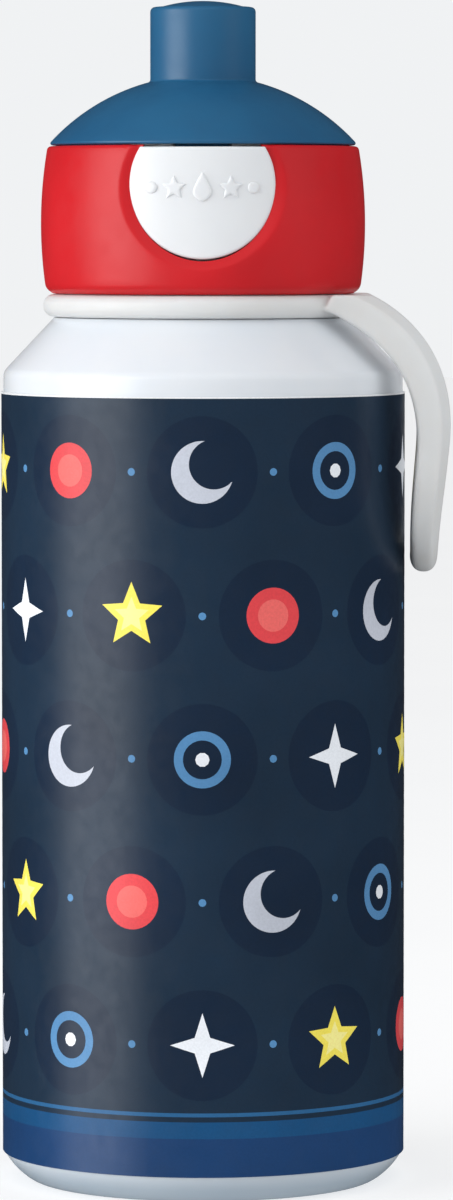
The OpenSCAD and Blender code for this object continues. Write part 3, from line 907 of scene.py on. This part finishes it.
def cap_shell():
    wide = CAP_R
    half = math.pi * wide
    loops, lines, grid = [], [], []
    heights = [CAP_LOW + v for v in (0, 0.06, 0.2, 0.45, 0.75, 1.1, 1.5)]
    heights += list(np.linspace(CAP_LOW + 2.4, CAP_HIGH - 1.4, 20))
    heights += [CAP_HIGH - v for v in (0.55, 0.35, 0.18, 0.06, 0)]
    columns = 208
    for j, z in enumerate(heights[1:-1]):
        for i in range(1, columns):
            u = -half + 2 * half * (i + (0.5 if j % 2 and 1 < i < columns - 1 else 0)) / columns
            x = wide * math.sin(u / wide)
            if math.cos(u / wide) > 0 and math.hypot(x, z - WINDOW_Z) < WINDOW_R + 1.9:
                continue
            grid.append((u, z))
    border = [(-half + 2 * half * i / columns, CAP_LOW) for i in range(columns)]
    border += [(half, z) for z in heights[:-1]]
    border += [(half - 2 * half * i / columns, CAP_HIGH) for i in range(columns)]
    border += [(-half, z) for z in reversed(heights[1:])]
    loops.append(border)
    for d in (0, 0.1, 0.22, 0.36, 0.52, 0.7, 0.9, 1.12, 1.35, 1.6):
        r = WINDOW_R + d
        top = math.pi - math.acos((CAP_HIGH - WINDOW_Z) / r)
        line = []
        for a in np.linspace(-top, top, 150):
            x, z = r * math.sin(a), min(CAP_HIGH, WINDOW_Z - r * math.cos(a))
            line.append((wide * math.asin(x / wide), z))
        lines.append(line)
    flat, faces = triangulate(grid, loops, lines)
    keep = []
    for f in faces:
        u, z = flat[list(f)].mean(0)
        if math.cos(u / wide) > 0 and math.hypot(wide * math.sin(u / wide), z - WINDOW_Z) < WINDOW_R:
            continue
        keep.append(f)
    used = sorted({i for f in keep for i in f})
    index = {v: i for i, v in enumerate(used)}
    flat = flat[used]
    keep = [tuple(index[i] for i in f) for f in keep]

    def outer(u, z):
        a = u / wide
        dip = window_dip(wide * math.sin(a), z) if math.cos(a) > 0 else 0.0
        r = max(cap_outer(z) - dip, CAP_BORE + 0.5)
        return (r * math.sin(a), -r * math.cos(a), z)

    def inner(u, z):
        a = u / wide
        return (CAP_BORE * math.sin(a), -CAP_BORE * math.cos(a), z)

    shell, _ = sheet_solid("cap", flat, keep, outer, inner)
    close_seam(shell)
    outward(shell)
    for side in (-1, 1):
        x0, x1 = sorted((side * 6.4, side * 9.0))
        rib = [
            (CAP_BORE - 0.3, HINGE_Z - 6.5), (CAP_R - 0.8, HINGE_Z - 6.5),
            (HINGE_Y + KNUCKLE_R, HINGE_Z), (CAP_BORE - 0.3, HINGE_Z),
        ]
        add(shell, tube("rib", [[(x, y, z) for y, z in rib] for x in (x0, x1)]), knuckle(x0, x1))
    cut(shell, rod(KNUCKLE_R + 0.35, -6.35, 6.35, "X", HINGE_AT))
    cut(shell, rod(PIN_R, -PIN_HALF - 1, PIN_HALF + 1, "X", HINGE_AT, 48))
    return dress(shade(shell, 40), RED, "cap", "cap_shell")


def emblem():
    """A generic raised row for the button: drop between two stars, and small discs outside them."""
    z = WINDOW_Z - 0.2
    out = [soft_loop([
        (0, z + 2.4, 1), (1.25, z + 0.1), (1.35, z - 1.3), (0, z - 2.3), (-1.35, z - 1.3), (-1.25, z + 0.1),
    ], 6)]
    for side in (-1, 1):
        out.append(star((side * 4.4, z - 0.15), 2.0, 5, 0.5))
        out.append(disc((side * 7.9, z - 0.1), 0.95, 28))
    return out


def distance_to(polygon, p):
    """Distance from a point to the nearest edge of a polygon."""
    a = np.array(polygon)
    b = np.roll(a, -1, axis=0)
    ab = b - a
    t = np.clip(((p - a) * ab).sum(1) / np.maximum((ab * ab).sum(1), 1e-12), 0, 1)
    return float(np.sqrt((((a + ab * t[:, None]) - p) ** 2).sum(1)).min())


def button():
    marks = [resample(m, 0.25) for m in emblem()]

    def outline(inset, n):
        r = BUTTON_R - inset
        a0 = math.acos((BUTTON_HIGH - inset - WINDOW_Z) / r)
        angles = np.linspace(a0, 2 * math.pi - a0, n)
        return resample([(r * math.sin(a), WINDOW_Z + r * math.cos(a)) for a in angles], 0.45)

    loops = [outline(0, 150)] + [outline(d, 140) for d in (0.08, 0.2, 0.36, 0.55, 0.8)]
    grid = []
    step = 0.5
    for i in range(-24, 25):
        for j in range(-24, 25):
            p = (i * step + (0.25 if j % 2 else 0), WINDOW_Z + j * step * 0.87)
            if math.hypot(p[0], p[1] - WINDOW_Z) < BUTTON_R - 1.1 and p[1] < BUTTON_HIGH - 1.1:
                if all(distance_to(m, np.array(p)) > 0.3 for m in marks):
                    grid.append(p)
    for m in marks:
        for d in (0.1, 0.22):
            pts = np.array(m)
            ahead, back = np.roll(pts, -1, axis=0), np.roll(pts, 1, axis=0)
            t = ahead - back
            t /= np.maximum(np.linalg.norm(t, axis=1), 1e-9)[:, None]
            n = np.stack([-t[:, 1], t[:, 0]], 1)
            test = pts + n * 0.02
            flip = np.where(inside(m, test), 1.0, -1.0)
            moved = pts + n * flip[:, None] * d
            ok = [i for i, q in enumerate(moved) if distance_to(m, q) > d * 0.9 and inside(m, q[None])[0]]
            grid += [tuple(moved[i]) for i in ok]
        loops.append(m)
    flat, faces = triangulate(grid, loops)
    flat_faces = []
    for f in faces:
        c = flat[list(f)].mean(0)
        if math.hypot(c[0], c[1] - WINDOW_Z) <= BUTTON_R and c[1] <= BUTTON_HIGH:
            flat_faces.append(f)
    in_mark = np.zeros(len(flat), bool)
    for m in marks:
        in_mark |= inside(m, flat)
    rise = np.zeros(len(flat))
    for i, p in enumerate(flat):
        near = min(distance_to(m, p) for m in marks)
        if in_mark[i] and near > 1e-3:
            rise[i] = RELIEF * min(1.0, near / 0.2) ** 0.6
    lift = {tuple(np.round(p, 6)): h for p, h in zip(flat, rise)}

    def outer(x, z):
        edge = min(BUTTON_R - math.hypot(x, z - WINDOW_Z), BUTTON_HIGH - z)
        edge = max(0.0, edge)
        soft = 0.0 if edge > 0.4 else 0.4 - math.sqrt(max(0.0, 0.16 - (0.4 - edge) ** 2))
        r = BUTTON_FACE - RELIEF - soft + lift.get((round(float(x), 6), round(float(z), 6)), 0.0)
        return (x, -math.sqrt(r * r - x * x), z)

    def inner(x, z):
        return (x, -math.sqrt(BUTTON_BACK ** 2 - x * x), z)

    cover, _ = sheet_solid("button_cap", flat, flat_faces, outer, inner)
    outward(cover)
    return dress(shade(cover, 50), BUTTON, "button", "button")


# ---------------------------------------------------------------- lid
def flip_lid():
    def sphere_z(r, radius):
        return DOME_Z + math.sqrt(radius * radius - r * r)

    rim_r = math.sqrt(DOME_R ** 2 - (LID_LOW - DOME_Z) ** 2)
    inner_r = DOME_R - LID_WALL
    knob_r = KNOB_IN + 1.2
    rim_a = math.degrees(math.acos(rim_r / DOME_R)) + 2.8
    foot_a = math.degrees(math.acos((knob_r + 1) / DOME_R))
    corners = [(SKIRT_IN, 161.6, 0.2), (22.8, 161.6, 0.3), (22.8, LID_LOW, 0.15), (rim_r, LID_LOW, 0.32)]
    corners += arc(0, DOME_Z, DOME_R, rim_a, foot_a, 30)
    corners += [
        (knob_r, sphere_z(knob_r, DOME_R), 0.5), (knob_r, LID_HIGH - 1, 0.75),
        (6.6, LID_HIGH - 0.92, 0.6),
    ]
    corners += arc(0, LID_HIGH - 24, 24, 77.5, 90, 8)
    corners += [
        (0, LID_HIGH - 1 - LID_WALL), (KNOB_IN, LID_HIGH - 1 - LID_WALL, 0.2),
        (KNOB_IN, sphere_z(KNOB_IN, inner_r), 0.4),
    ]
    inner_a = math.degrees(math.asin((LID_LOW - DOME_Z) / inner_r)) + 1
    corners += arc(0, DOME_Z, inner_r, math.degrees(math.acos((KNOB_IN + 1) / inner_r)), inner_a, 18)
    corners += [(SKIRT_IN, LID_LOW + 0.3)]
    lid = lathe("lid", rounded(corners), 256)
    cut(lid, block((-LATCH_HALF, -30, 160), (LATCH_HALF, -11, LID_LOW)))
    cut(lid, block((-NOTCH_HALF, 21.4, 160), (NOTCH_HALF, 30, 166.2)))
    cut(lid, block((-NOTCH_HALF, 18, 160), (NOTCH_HALF, 30, LID_LOW)))
    tongue = block((-TONGUE_HALF, -20.6, 158.7), (TONGUE_HALF, -19.2, 165), "tongue", 0.2)
    nose = block((-TONGUE_HALF, -19.5, 158.7), (TONGUE_HALF, -17.4, 159.9), "nose", 0.2)
    add(lid, tongue, nose)
    for x0 in (2.9, -6.2):
        x1 = x0 + 3.3
        add(lid, block((x0, 20.6, HINGE_Z + 0.3), (x1, HINGE_Y, HINGE_Z + 2)), knuckle(x0, x1))
    cut(lid, rod(PIN_R + 0.05, -7, 7, "X", HINGE_AT, 48))
    return dress(shade(lid), BLUE, "lid", "flip_lid")


def lid_liner():
    z0, z1 = low("lid_liner").z, high("lid_liner").z
    plate = lathe("lid_plate", rounded([
        (8.6, z0, 0.2), (SKIRT_IN, z0, 0.2), (SKIRT_IN, z1, 0.2), (8.6, z1, 0.2),
    ], 3), 160)
    cut(plate, block((-4.55, -30, z0 - 1), (4.55, -18.85, z1 + 1)))
    cut(plate, block((-NOTCH_HALF, 19.4, z0 - 1), (NOTCH_HALF, 30, z1 + 1)))
    return dress(shade(plate), INNER, "lid", "lid_liner")


def spout_seal():
    z0, z1 = low("spout_seal").z, high("spout_seal").z
    plug = lathe("spout_plug", rounded([
        (0, z0), (1.2, z0, 0.4), (1.6, z0 + 1.2, 0.2), (4.6, z0 + 1.2, 0.5), (4.6, z1 - 1.6, 0.4),
        (KNOB_IN, z1 - 1.6, 0.3), (KNOB_IN, z1), (0, z1),
    ]), 128)
    return dress(shade(plug), SILICONE, "lid", "spout_seal")


# ---------------------------------------------------------------- inside of the cap
def cap_core():
    bore, skirt_r, deck_r = 3.2, 20.8, DECK_R - 0.02
    core = lathe("cap_core_part", rounded([
        (bore, DECK_LOW, 0.2), (THREAD_R, DECK_LOW, 0.6), (THREAD_R, CORE_LOW + 0.4, 0.3),
        (THREAD_R + 0.3, CORE_LOW, 0.2), (skirt_r, CORE_LOW, 0.3), (skirt_r, DECK_LOW, 0.6),
        (deck_r, DECK_LOW, 0.2), (deck_r, DECK_HIGH, 0.2),
        (5, DECK_HIGH, 0.4), (5, 164, 0.3), (bore, 164, 0.3),
    ], 4), 192)
    for start in range(3):
        # this start keeps the ridge's edges off the core's own, which the boolean needs
        add(core, ridge(THREAD_R, 1.3, -1, 142.7, 120, -80.37 + 120 * start))
    for side in (-1, 1):
        x = side * 9.2
        add(core, block((x - 1.8, -14.9, DECK_HIGH - 0.6), (x + 1.8, -13.7, 162.2), "post", 0.2))
    front = block((-LATCH_HALF, -30, DECK_LOW - 1), (LATCH_HALF, -10.4, DECK_HIGH + 1))
    cut(front, rod(22.6, DECK_LOW - 3, DECK_HIGH + 3, "Z", (0, 1.7, 0), 192))
    cut(core, front, rod(1.3, DECK_LOW - 1, DECK_HIGH + 1, "Z", (VENT_X, 0, 0), 32))
    return dress(shade(core), INNER, "cap", "cap_core")


def spout():
    outline = [(5, DECK_HIGH)] + rounded([(6.0, DECK_HIGH), (SPOUT_R, DECK_HIGH, 0.2), (SPOUT_R, 164)])[1:-1]
    outline += [(SPOUT_R, 162), (SPOUT_R, 165)]
    outline += arc(SPOUT_R + 2.8, 165, 2.8, 180, 152, 8)[1:]
    outline += [(4.9, 171), (4.4, 175)]
    outline += rounded([(4.3, 175.5), (4.0, SPOUT_HIGH, 0.9), (3.0, SPOUT_HIGH, 0.45), (3.0, 170)], 8)[1:-1]
    outline += [(3.0, 172), (3.0, 164.7), (5, 164.1)]
    return dress(shade(lathe("spout_tube", outline, 128), 40), SILICONE, "cap", "spout")


def spout_retainer():
    z0, z1 = low("spout_retainer").z, high("spout_retainer").z
    ring = lathe("spout_collar", rounded([
        (6.32, z0, 0.1), (7.6, z0, 0.15), (7.6, z1, 0.5), (6.32, z1, 0.2),
    ]), 128)
    return dress(shade(ring), INNER, "cap", "spout_retainer")


def vent_valve():
    z0, z1 = low("vent_valve").z, high("vent_valve").z
    valve = lathe("air_valve", rounded([
        (0, z0), (1.0, z0, 0.3), (1.8, z0 + 1.2, 0.1), (1.28, z0 + 1.25), (1.28, DECK_HIGH),
        (3.2, DECK_HIGH + 0.02, 0.1), (2.4, z1 - 0.2, 0.3), (0, z1),
    ]), 64, (VENT_X, 0, 0))
    return dress(shade(valve), SILICONE, "cap", "vent_valve")


def neck_gasket():
    z0, z1 = low("neck_gasket").z, high("neck_gasket").z
    inner = 15.6
    seal = lathe("neck_seal", rounded([
        (inner, z0, 0.3), (GASKET_R, z0, 0.4), (GASKET_R, z1 - 0.02, 0.4), (inner, z1 - 0.02, 0.3),
    ]), 192)
    return dress(shade(seal), SILICONE, "gasket", "neck_gasket")


def hinge_pin():
    corners = [(0, -PIN_HALF), (PIN_R, -PIN_HALF, 0.2), (PIN_R, PIN_HALF, 0.2), (0, PIN_HALF)]
    pin = lathe("pin", rounded(corners, 4), 48, HINGE_AT, "X")
    return dress(shade(pin), STEEL, "cap", "hinge_pin")


def button_spring(node):
    """A coil between the latch's wing and its post."""
    lo, hi = low(node), high(node)
    wire = 0.3
    coil = (hi.x - lo.x) / 2 - wire
    x, z = (lo.x + hi.x) / 2, (lo.z + hi.z) / 2
    turns, per_turn, sides = 4, 32, 12
    start, end = lo.y + wire + 0.02, hi.y - wire - 0.02
    rings = []
    for i in range(turns * per_turn + 1):
        a = 2 * math.pi * i / per_turn
        y = start + (end - start) * i / (turns * per_turn)
        ring = []
        for k in range(sides):
            f = 2 * math.pi * k / sides
            r = coil + wire * math.cos(f)
            ring.append((x + r * math.cos(a), y + wire * math.sin(f), z + r * math.sin(a)))
        rings.append(ring)
    spring = dress(shade(tube(node + "_coil", rings), 60), STEEL, "cap", node)
    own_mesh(spring)
    return spring


def keep_cad_parts():
    """The two hidden nodes that stay as the CAD made them."""
    paint("latch_frame", INNER)
    paint("lid_spring", STEEL)


# ---------------------------------------------------------------- studio
KEY, FRONT, FILL, CEILING = 5.0, 0.5, 1.5, 3.0
SKY_SEEN, SKY, SKY_GLOSS = 0.90, 0.68, 0.04
FLOOR_GLOW = 0.6
FLOOR_R = 5
CAMERA_AT = (0.0037, -0.974, 0.1516)
CAMERA_AIM = (0.0037, 0, 0.0916)


def studio():
    floor_m, tree, bsdf = new_material("floor_paper")
    tone = spread(tree, noise(tree, 120, 3.0), 0.0, 1.0)
    tree.links.new(mixed(tree, tone, (0.46, 0.46, 0.46, 1), (0.44, 0.44, 0.445, 1)), bsdf.inputs["Base Color"])
    bsdf.inputs["Roughness"].default_value = 0.7
    bsdf.inputs["Specular IOR Level"].default_value = 0.2
    bsdf.inputs["Emission Color"].default_value = (0.99, 0.995, 1.0, 1)
    bsdf.inputs["Emission Strength"].default_value = FLOOR_GLOW
    sides = 64
    angles = np.linspace(0, 2 * math.pi, sides, endpoint=False)
    verts = [(0, 0, 0)] + [(FLOOR_R * math.cos(a), FLOOR_R * math.sin(a), 0) for a in angles]
    faces = [(0, 1 + i, 1 + (i + 1) % sides) for i in range(sides)]
    mesh = bpy.data.meshes.new("floor")
    mesh.from_pydata(verts, [], faces)
    floor = link("floor", mesh)
    mesh.materials.append(floor_m)
    mesh.shade_smooth()
    floor.visible_glossy = False
    floor.visible_diffuse = False

    def softbox(name, where, aim, width, height, power, seen=True):
        data = bpy.data.lights.new(name, "AREA")
        data.shape = "RECTANGLE"
        data.size, data.size_y = width, height
        data.energy = power
        obj = link(name, data)
        obj.location = where
        obj.rotation_euler = (Vector(aim) - Vector(where)).to_track_quat("-Z", "Y").to_euler()
        obj.visible_glossy = seen

    softbox("key", (-0.62, -0.34, 0.20), (0, 0, 0.10), 0.60, 0.75, KEY)
    softbox("front", (0.05, -0.62, 0.80), (0, 0, 0.10), 0.70, 0.50, FRONT)
    softbox("fill", (0.80, -0.30, 0.45), (0, 0, 0.10), 0.5, 0.6, FILL, seen=False)
    softbox("ceiling", (0.0, 0.0, 2.4), (0, 0.0, 0.0), 3.6, 3.6, CEILING, seen=False)
    world = bpy.data.worlds.new("studio")
    bpy.context.scene.world = world
    world.use_nodes = True
    tree = world.node_tree
    back = tree.nodes["Background"]
    back.inputs["Color"].default_value = (0.97, 0.985, 1.0, 1)
    path = tree.nodes.new("ShaderNodeLightPath")
    total = None
    for ray, strength in (("Is Camera Ray", SKY_SEEN), ("Is Diffuse Ray", SKY), ("Is Glossy Ray", SKY_GLOSS)):
        part = tree.nodes.new("ShaderNodeMath")
        part.operation = "MULTIPLY_ADD"
        tree.links.new(path.outputs[ray], part.inputs[0])
        part.inputs[1].default_value = strength
        part.inputs[2].default_value = 0.0
        if total:
            tree.links.new(total, part.inputs[2])
        total = part.outputs["Value"]
    tree.links.new(total, back.inputs["Strength"])

    camera_data = bpy.data.cameras.new("camera")
    camera_data.lens = 185
    camera_data.sensor_width = 36
    camera_data.clip_end = 20
    camera = link("camera", camera_data)
    camera.location = CAMERA_AT
    camera.rotation_euler = (Vector(CAMERA_AIM) - camera.location).to_track_quat("-Z", "Y").to_euler()
    bpy.context.scene.camera = camera
    bpy.context.scene.view_settings.view_transform = "Standard"


bottle_body()
label_sleeve()
strap()
cap_shell()
button()
flip_lid()
lid_liner()
spout_seal()
cap_core()
spout()
spout_retainer()
vent_valve()
neck_gasket()
hinge_pin()
button_spring("button_spring_left")
button_spring("button_spring_right")
keep_cad_parts()
studio()
